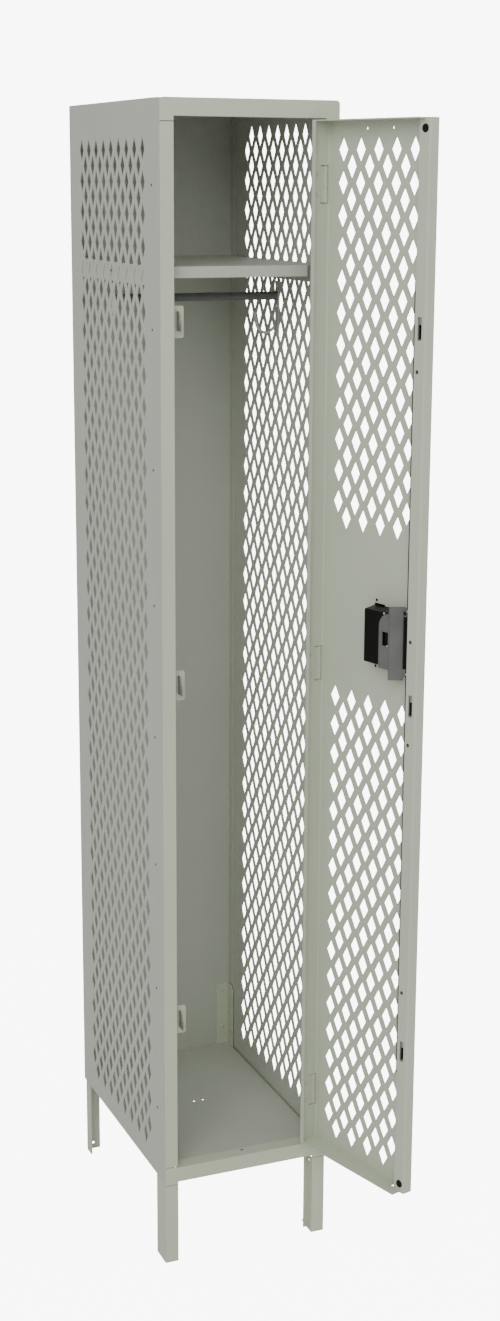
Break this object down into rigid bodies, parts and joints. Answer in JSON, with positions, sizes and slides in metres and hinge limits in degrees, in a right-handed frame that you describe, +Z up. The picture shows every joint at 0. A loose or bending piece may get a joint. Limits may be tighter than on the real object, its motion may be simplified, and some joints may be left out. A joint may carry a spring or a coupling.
{
  "type": "school locker",
  "caption": "Tall ventilated steel locker on legs, with a perforated side-hinged door, lift-up latch bar, hat shelf, coat rod and hook.",
  "frame": {"origin": "on the floor, at the centre of the cabinet's footprint, midway between its sides and midway between its front and back", "axes": "+X to the locker's right seen from the front, +Y to its back, +Z up; the door stands open at 106 degrees at rest"},
  "size_m": [0.3559, 0.7062, 1.9812],
  "materials": {
    "frame_paint": "satin grey powder coat",
    "cabinet_paint": "satin grey powder coat",
    "door_paint": "satin grey powder coat",
    "black_plastic": "semi-gloss moulded",
    "grey_plastic": "satin moulded",
    "zinc_hardware": "dull zinc plate",
    "bracket_paint": "satin grey enamel",
    "dark_steel": "dull dark oxide",
    "rod_steel": "dark zinc plate",
    "bar_steel": "dull zinc plate",
    "black_rubber": "matte"
  },
  "bodies": {
    "frame": {"frame_left_upright": "frame_paint", "frame_right_upright": "frame_paint", "frame_top_rail": "frame_paint", "frame_bottom_rail": "frame_paint", "front_leg_left": "frame_paint", "front_leg_right": "frame_paint", "leg_splice_plates": "frame_paint", "foot_plates": "frame_paint", "rear_leg_left": "frame_paint", "rear_leg_right": "frame_paint", "side_panel_left": "cabinet_paint", "side_panel_right": "cabinet_paint", "back_panel": "cabinet_paint", "top_panel": "cabinet_paint", "bottom_panel": "cabinet_paint", "shelf": "cabinet_paint", "side_rivets_left": "dark_steel", "side_rivets_right": "dark_steel", "rear_leg_bolts": "cabinet_paint", "coat_rod": "rod_steel", "rod_bracket_left": "bracket_paint", "rod_bracket_right": "bracket_paint", "coat_hook": "bracket_paint", "bracket_screws": "zinc_hardware", "strike_plates": "frame_paint", "strike_hooks": "rod_steel", "hinge_frame_leaves": "frame_paint", "hinge_pins": "zinc_hardware"},
    "door": {"door_pan": "door_paint", "handle_cup": "black_plastic", "cup_screws": "black_plastic", "pull_stud": "zinc_hardware", "hinge_door_leaves": "door_paint", "hinge_rivets": "door_paint", "bar_guides": "dark_steel", "bar_glides": "black_plastic", "door_bumpers": "black_rubber"},
    "latch": {"lock_bar": "bar_steel", "lifter_plate": "grey_plastic", "finger_lift": "dark_steel", "lifter_rivets": "zinc_hardware"}
  },
  "joints": [
    {"name": "door_hinge", "type": "hinge", "parent": "frame", "child": "door", "pos_m": [0.1278, -0.2301, 1.067], "axis": [0, 0, 1], "range_deg": [-106, 19]},
    {"name": "latch_lift", "type": "slide", "parent": "door", "child": "latch", "axis": [0, 0, 1], "range_m": [-0.01, 0]}
  ]
}
